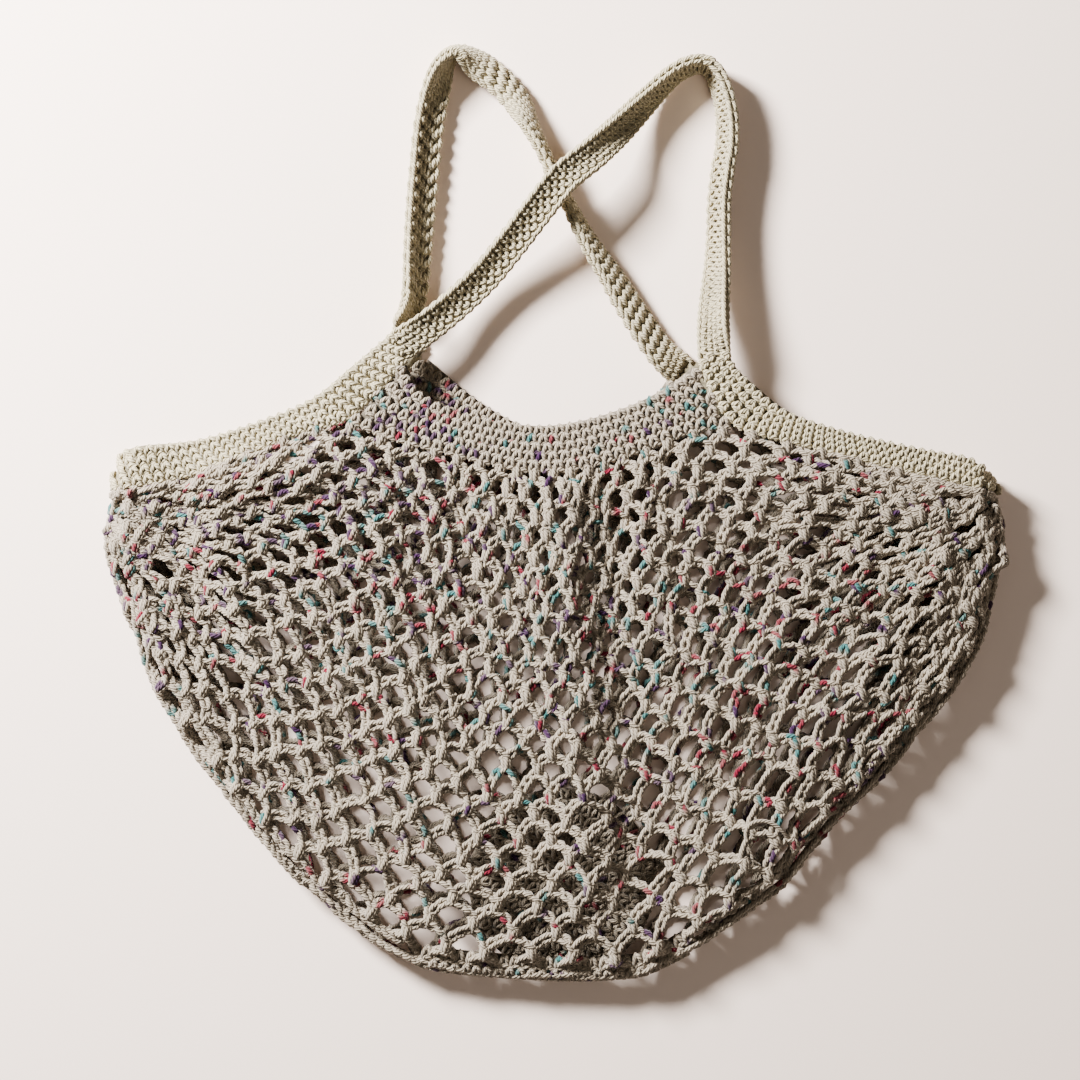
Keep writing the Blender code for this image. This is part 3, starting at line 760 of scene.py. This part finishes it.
def work_arch(line, outs, chains, rounds, dyes, link):
    """The chains of one arch: a back strand and a loop for each link."""
    along = measured(line)
    count = max(FEWEST_LINKS, int(round(along[-1] / LINK_PITCH)))
    pitch = along[-1] / count
    roll = rng.uniform(-0.6, 0.6)
    drift = rng.uniform(-0.4, 0.4)
    strand = at_length(line, along, np.linspace(0, along[-1], 2 * count + 1))
    middle_out = unit(outs.mean(axis=0))
    wave = np.array([STRAND_WAVE if k % 2 else -STRAND_WAVE for k in range(len(strand))])[:, None]
    sideways = unit(np.cross(middle_out, line[-1] - line[0]))
    rounds.lay(strand - STRAND_DEPTH * middle_out + wave * sideways, dyes(strand))
    for k in range(count):
        start = at_length(line, along, k * pitch)[0]
        end = at_length(line, along, min((k + 1) * pitch, along[-1]))[0]
        ahead = unit(end - start)
        share = (k + 0.5) / count
        out = unit((1 - share) * outs[0] + share * outs[1])
        across = unit(np.cross(out, ahead))
        out = np.cross(ahead, across)
        turn = roll + drift * k + rng.uniform(-0.25, 0.25)
        across, out = (
            across * math.cos(turn) + out * math.sin(turn),
            out * math.cos(turn) - across * math.sin(turn),
        )
        scale = (pitch / LINK_PITCH, rng.uniform(0.98, 1.16), 1.0)
        loop = stitched(link, start, ahead, across, out, scale)
        chains.lay(loop, dyes(loop))


def work_post(knot, yarn, dyes, plain):
    """A close stitch worked round the crown of the arch below it."""
    place, out, to_rim = knot
    across = unit(np.cross(to_rim, out))
    to_rim = np.cross(out, across)
    turn = rng.uniform(-0.3, 0.3)
    across, to_rim = (
        across * math.cos(turn) + to_rim * math.sin(turn),
        to_rim * math.cos(turn) - across * math.sin(turn),
    )
    shapes = (POST_LEGS,) if plain else (POST_LEGS, POST_MIDDLE, POST_HEAD)
    for shape in shapes:
        line = stitched(shape, place, across, to_rim, out)
        yarn.lay(line, dyes(line))


def work_net():
    """The net's yarn, in pieces by layer and side."""
    knots = work_knots()
    yarns = {}
    for front, layer in ((True, "front"), (False, "back")):
        rounds = yarns["net_rounds_" + layer] = Yarn()
        posts = yarns.setdefault("net_knots_front", Yarn()) if front else rounds
        halves = {side: Yarn() for side in ("left", "right")}
        worked = [np.array([0.0, 900.0])]
        for row in range(ROUNDS):
            for k in range(row % 2, 2 * COLUMNS + 1, 2):
                knot = knots[front, k, row]
                nearest = np.linalg.norm(np.array(worked) - knot[0][:2], axis=1).min()
                crowded = nearest < CLOSEST_KNOTS
                hidden = not front and in_base_round(knot[0], -4.0)
                if crowded or hidden:
                    continue
                worked.append(knot[0][:2])
                line = arch_line(knots, front, k, row)
                outs = np.array([foot[1] for foot in feet_of(knots, front, k, row)])
                half = halves["left" if k < COLUMNS else "right"]
                link = CHAIN_LINK if front else PLAIN_LINK
                work_arch(line, outs, half, rounds, speckled_dyes, link)
                work_post(knot, posts, speckled_dyes, not front)
        for side, half in halves.items():
            yarns["net_chains_" + layer + "_" + side] = half
    work_fold(yarns)
    return yarns


def work_fold(yarns):
    """The rounds that pass over the fold, along the bag's whole outline."""
    for rope in FOLD_ROPES:
        front = rope["layer"] == "front"
        line = whole_outline(rope["inset"])
        along = measured(line)
        count = int(along[-1] / FOLD_WAVE_LENGTH)
        places = at_length(line, along, np.linspace(0, along[-1], count))
        waves = np.array([[rng.uniform(-0.9, 0.9), rng.uniform(-0.9, 0.9)] for place in places])
        heights = FOLD_HEIGHT + rope["rise"] + waves[:, 1]
        rows = np.column_stack([places + rope["wander"] * waves, heights])
        path = smooth_through(rows, FOLD_ROPE_POINTS, 12)
        for side in ("left", "right"):
            start, end = (int(share * len(path)) for share in rope[side])
            stretch = path[start:end]
            pieces = int(measured(stretch)[-1] / FOLD_ARCH_LENGTH)
            for n in range(pieces):
                first, last = (int(len(stretch) * m / pieces) for m in (n, n + 1))
                part_line = stretch[max(first - 2, 0):last]
                outs = np.array([
                    np.append(unit(place[:2] - BAG_MIDDLE), FOLD_TILT if front else -FOLD_TILT)
                    for place in (part_line[0], part_line[-1])
                ])
                work_arch(
                    part_line, outs, yarns["net_chains_" + rope["layer"] + "_" + side],
                    yarns["net_rounds_" + rope["layer"]], speckled_dyes,
                    CHAIN_LINK if front else PLAIN_LINK,
                )


net_yarns = work_net()
net_pieces = {}
for name, yarn in net_yarns.items():
    net_pieces[name] = spun(name, yarn, 5 if "front" in name else 4, speckled_yarn, ROPE_RADIUS)


def band_surface(top, bottom, height):
    """A worked strip's middle surface: a place for a share along it and a share down it."""
    top, bottom = smooth_through(top, 120), smooth_through(bottom, 120)
    shares = np.linspace(0, 1, 120)

    def place(s, t):
        s = min(max(s, 0.0), 1.0)
        upper = np.array([np.interp(s, shares, top[:, k]) for k in (0, 1)])
        lower = np.array([np.interp(s, shares, bottom[:, k]) for k in (0, 1)])
        x, y = (1 - t) * upper + t * lower
        return np.array([x, y, height(x, y)])

    return place


def folded_surface(front_edges, back_edges):
    """A side band's middle surface, from its front end round the corner to its back end."""
    front = band_surface(front_edges["top"], front_edges["bottom"], front_level)
    back = band_surface(back_edges["top"], back_edges["bottom"], back_level)
    return lambda s, t: front(2 * s, t) if s < 0.5 else back(2 - 2 * s, t)


def strap_surface(route):
    """A handle's middle surface, with its curled edges, across share t from 0 to 1."""
    stations = smooth_through(route, STRAP_STATIONS)
    lengths = np.linspace(0, 1, STRAP_STATIONS)

    def place(s, t):
        s = min(max(s, 0.0), 1.0)
        x, y, roll, lift = (np.interp(s, lengths, stations[:, k]) for k in range(4))
        before = np.array([np.interp(max(s - 0.02, 0), lengths, stations[:, k]) for k in (0, 1)])
        after = np.array([np.interp(min(s + 0.02, 1), lengths, stations[:, k]) for k in (0, 1)])
        ahead = unit(after - before)
        turn = math.radians(roll)
        lane = 2 * t - 1
        ends = min(1.0, min(s, 1 - s) * (STRAP_STATIONS - 1) / CURL_EASE)
        edge_lift = 0.2 * (2 * abs(lane)) if abs(lane) < 0.5 else 1.6 * abs(lane) - 0.6
        curl = STRAP_CURL * ends * edge_lift
        sideways = STRAP_WIDTH / 2 * lane * math.cos(turn) - curl * math.sin(turn)
        upwards = STRAP_WIDTH / 2 * lane * math.sin(turn) + curl * math.cos(turn)
        half_depth = STRAP_WIDTH / 2 * abs(math.sin(turn)) + STRAP_THICKNESS / 2
        sunk = STRAP_CURL * max(0.0, -math.cos(turn)) * ends
        return np.array([
            x - ahead[1] * sideways, y + ahead[0] * sideways, lift + half_depth + sunk + upwards
        ])

    return place


def directions(place, s, t, step=0.004):
    """The place on a surface, and the ways along it, across it to its top edge, and out of it."""
    low, high = max(s - step, 0.0), min(s + step, 1.0)
    along = unit(place(high, t) - place(low, t))
    across = unit(place(s, max(t - 0.03, -0.1)) - place(s, min(t + 0.03, 1.1)))
    out = unit(np.cross(along, across))
    across = np.cross(out, along)
    return place(s, t), along, across, out


def cloth_core(name, place, count, lanes, material):
    """The cloth behind close stitches: a grid on the strip's surface, given its thickness."""
    bm = bmesh.new()
    bmesh.ops.create_grid(bm, x_segments=count, y_segments=lanes, size=0.5)
    for vert in bm.verts:
        vert.co = place(vert.co.x + 0.5, 0.5 - vert.co.y) * MM
    return thick_cloth(name, bm, material)


def thick_cloth(name, bm, material):
    """A sheet given the thickness of the cloth behind the stitches."""
    bmesh.ops.recalc_face_normals(bm, faces=bm.faces[:])
    sheet = bpy.data.meshes.new(name)
    bm.to_mesh(sheet)
    bm.free()
    carrier = bpy.data.objects.new(name + "_sheet", sheet)
    bpy.context.scene.collection.objects.link(carrier)
    solidify = carrier.modifiers.new("cloth", "SOLIDIFY")
    solidify.thickness = CLOTH_THICKNESS * MM
    solidify.offset = 0.0
    bpy.context.view_layer.update()
    graph = bpy.context.evaluated_depsgraph_get()
    mesh = bpy.data.meshes.new_from_object(carrier.evaluated_get(graph))
    bpy.data.objects.remove(carrier, do_unlink=True)
    mesh.materials.clear()
    mesh.materials.append(material)
    mesh.polygons.foreach_set("use_smooth", [True] * len(mesh.polygons))
    piece = bpy.data.objects.new(name, mesh)
    bpy.context.scene.collection.objects.link(piece)
    return piece


def strip_size(place):
    """Length and width of a strip, along its middle and across its own middle."""
    middle = np.array([place(s, 0.5) for s in np.linspace(0, 1, 80)])
    widths = [np.linalg.norm(place(s, 0.0) - place(s, 1.0)) for s in np.linspace(0.05, 0.95, 19)]
    return measured(middle)[-1], float(np.mean(widths))


def work_rows(place, rows, sides, stand, dyes, yarn):
    """Rows of close stitches along a strip, on the sides that are asked for."""
    length, width = strip_size(place)
    count = int(round(length / STITCH_WIDTH))
    pitch, depth = length / count, width / rows
    for row in range(rows):
        for k in range(count + 1):
            s = (k + (0.5 if row % 2 else 0.0)) / count
            t = (row + 0.5) / rows
            if s > 1:
                continue
            origin, along, across, out = directions(place, s, t)
            for side in sides:
                scale = (pitch / DRAWN_STITCH[0], depth / DRAWN_STITCH[1], rng.uniform(0.85, 1.15))
                base = origin + side * stand * out + rng.uniform(-0.25, 0.25) * along
                for shape in (CLOSE_LEGS, CLOSE_HEAD):
                    line = stitched(shape, base, side * along, across, side * out, scale)
                    yarn.lay(line, dyes(line))


def work_strap(place, ribbed, dyes, yarn):
    """A handle's stitches: rows along both faces and a chain along each curled edge.

    The handle that is turned over shows ribs across it, the other one dots in staggered rows.
    """
    length, width = strip_size(place)
    count = int(round(length / STRAP_PITCH))
    pitch = length / count
    for k in range(count):
        s = (k + 0.5) / count
        for n, t in enumerate(STRAP_LANES):
            shift = RIB_SLANT * (t - 0.5) if ribbed else 0.25 * (-1) ** n
            origin, along, across, out = directions(place, s + shift / count, t)
            for side in (1, -1):
                base = origin + side * STRAP_STAND * out
                if ribbed:
                    scale = (0.78, pitch / STRAP_PITCH, 0.9)
                    line = stitched(STRAP_LEGS, base, -side * across, along, side * out, scale)
                else:
                    scale = (pitch / STITCH_WIDTH, 0.64, rng.uniform(0.8, 1.05))
                    line = stitched(CLOSE_LEGS, base, side * along, across, side * out, scale)
                yarn.lay(line, dyes(line))
        for t, edge in ((0.0, 1), (1.0, -1)):
            origin, along, across, out = directions(place, s - 0.5 / count, t)
            link_out = unit(out * 0.4 + edge * across)
            loop = stitched(
                CHAIN_LINK, origin - 0.6 * edge * across, along,
                unit(np.cross(link_out, along)), link_out, (pitch / LINK_PITCH, 0.95, 1.0),
            )
            yarn.lay(loop, dyes(loop))


def band_bottom(rim, ends):
    """The lower edge of a neck band, a join's gap above the net's rim."""
    line = smooth_through(rim, 400)
    inside = line[(line[:, 0] > ends[0]) & (line[:, 0] < ends[1])]
    return smooth_through(inside[::12], 20) + np.array([0.0, JOIN_GAP])


def fold_strip():
    """The base's outer rounds where they show on the front, along the lower fold."""
    edges = []
    for inset in (12.5, 1.6):
        line = whole_outline(inset)
        edges.append(line[(line[:, 0] > -64) & (line[:, 0] < 70) & (line[:, 1] < -195)][::6])

    def height(x, y):
        share = min(1.0, distance_to_lines(x, y, FOLD_LINE) / 9.0)
        return FOLD_HEIGHT - 1.0 + 4.0 * math.sin(share * math.pi / 2)

    return band_surface(edges[0], edges[1], height)


STRIPS = {
    "neck_band_front": {
        "place": band_surface(FRONT_NECKLINE, band_bottom(FRONT_RIM, (-101, 87)), front_level),
        "rows": 5, "kind": "speckled", "sides": (1,), "stand": 1.1,
    },
    "neck_band_back": {
        "place": band_surface(BACK_NECKLINE, band_bottom(BACK_RIM, (-98, 87)), back_level),
        "rows": 4, "kind": "speckled", "sides": (1,), "stand": 1.1,
    },
    "side_band_left": {
        "place": folded_surface(LEFT_FRONT_EDGES, LEFT_BACK_EDGES),
        "rows": 4, "kind": "cream", "sides": (-1,), "stand": 1.1,
    },
    "side_band_right": {
        "place": folded_surface(RIGHT_FRONT_EDGES, RIGHT_BACK_EDGES),
        "rows": 4, "kind": "cream", "sides": (1,), "stand": 1.1,
    },
    "base_fold": {
        "place": fold_strip(), "node": "net_body",
        "rows": 2, "kind": "speckled", "sides": (1,), "stand": 0.9,
    },
    "handle_back": {"place": strap_surface(BACK_HANDLE), "kind": "cream", "strap": "ribbed"},
    "handle_front": {"place": strap_surface(FRONT_HANDLE), "kind": "cream", "strap": "dotted"},
}
KINDS = {
    "speckled": (speckled_yarn, speckled_cloth, speckled_dyes, "speckled_cotton"),
    "cream": (cream_yarn, cream_cloth, cream_dyes, "cream_cotton"),
}


def round_surface():
    """The base round's middle surface, s round it and t from its rim to its middle."""
    def place(s, t):
        angle, radius = 2 * math.pi * s, BASE_ROUND["radius"] * (1 - t)
        x = BASE_ROUND["x"] + radius * math.cos(angle)
        y = BASE_ROUND["y"] + radius * math.sin(angle)
        return np.array([x, y, back_level(x, y)])

    return place


def base_core():
    """The cloth behind the base round's stitches: a disc that turns up at the fold."""
    bm = bmesh.new()
    bmesh.ops.create_circle(bm, cap_ends=True, segments=48, radius=BASE_ROUND["radius"])
    for ring in range(5):
        bmesh.ops.inset_individual(
            bm, faces=[max(bm.faces, key=lambda face: len(face.verts))], thickness=4.0
        )
    for vert in bm.verts:
        x, y = vert.co.x + BASE_ROUND["x"], vert.co.y + BASE_ROUND["y"]
        vert.co = (x * MM, y * MM, back_level(x, y) * MM)
    return thick_cloth("base_round_cloth", bm, speckled_cloth)


def work_base(place, yarn):
    """Rounds of close stitches from the base's rim to its middle, on the side that shows."""
    rings = int(BASE_ROUND["radius"] / STITCH_WIDTH)
    for ring in range(rings):
        t = (ring + 0.5) / rings
        count = max(5, int(round(2 * math.pi * BASE_ROUND["radius"] * (1 - t) / STITCH_WIDTH)))
        for k in range(count):
            origin, along, across, out = directions(place, (k + 0.5) / count, t, 0.01)
            for shape in (CLOSE_LEGS, CLOSE_HEAD):
                line = stitched(shape, origin - BASE_STAND * out, -along, across, -out)
                yarn.lay(line, speckled_dyes(line))


def dress(piece, node):
    """Every piece rides with the bag and stands for its solid."""
    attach(piece, "root")
    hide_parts(node)


for name, strip in STRIPS.items():
    yarn_finish, cloth_finish, dyes, slot = KINDS[strip["kind"]]
    node = strip.get("node", name)
    place = strip["place"]
    core = cloth_core(name + "_cloth", place, 70, 4, cloth_finish)
    yarn = Yarn()
    if strip.get("strap"):
        work_strap(place, strip["strap"] == "ribbed", dyes, yarn)
    else:
        work_rows(place, strip["rows"], strip["sides"], strip["stand"], dyes, yarn)
    radius = YARN_RADIUS if strip.get("strap") else CLOSE_RADIUS
    stitches = spun(name + "_stitches", yarn, 5, yarn_finish, radius)
    dress(core, node)
    dress(stitches, node)
    length, width = strip_size(place)

base_yarn = Yarn()
work_base(round_surface(), base_yarn)
base_pieces = [base_core(), spun("base_round_stitches", base_yarn, 4, speckled_yarn)]
for piece in base_pieces:
    dress(piece, "net_body")

for name, piece in net_pieces.items():
    dress(piece, "net_body")
for layer, rim in (("front", FRONT_RIM), ("back", BACK_RIM)):
    shape = np.vstack([whole_outline(0.0), smooth_through(rim, 200)[::-1]])
    with_rounds = [net_pieces["net_chains_" + layer + "_" + side] for side in ("left", "right")]
    if layer == "front":
        with_rounds.append(net_pieces["net_knots_front"])

floor_material = bpy.data.materials.new("pale_floor")
floor_material.use_nodes = True
floor_shader = floor_material.node_tree.nodes["Principled BSDF"]
floor_shader.inputs["Base Color"].default_value = FLOOR_COLOUR
floor_shader.inputs["Roughness"].default_value = 0.9
bm = bmesh.new()
bmesh.ops.create_grid(bm, x_segments=1, y_segments=1, size=FLOOR_HALF)
floor_mesh = bpy.data.meshes.new("floor")
bm.to_mesh(floor_mesh)
bm.free()
floor_mesh.materials.append(floor_material)
floor = bpy.data.objects.new("floor", floor_mesh)
bpy.context.scene.collection.objects.link(floor)


def soft_light(name, place, size, power, colour):
    """A square lamp aimed at the bag."""
    lamp = bpy.data.lights.new(name, "AREA")
    lamp.size = size
    lamp.energy = power
    lamp.color = colour
    lit = bpy.data.objects.new(name, lamp)
    lit.location = place
    aim = np.array(LIGHT_AIM) - np.array(place)
    lit.rotation_euler = (
        math.acos(-aim[2] / np.linalg.norm(aim)), 0.0, math.atan2(aim[1], aim[0]) - math.pi / 2
    )
    bpy.context.scene.collection.objects.link(lit)


for name, light in LIGHTS.items():
    soft_light(name, **light)
room = bpy.data.worlds.new("room")
room.use_nodes = True
room.node_tree.nodes["Background"].inputs["Color"].default_value = ROOM_COLOUR
room.node_tree.nodes["Background"].inputs["Strength"].default_value = ROOM_STRENGTH
bpy.context.scene.world = room
bpy.context.scene.view_settings.look = "AgX - Medium High Contrast"
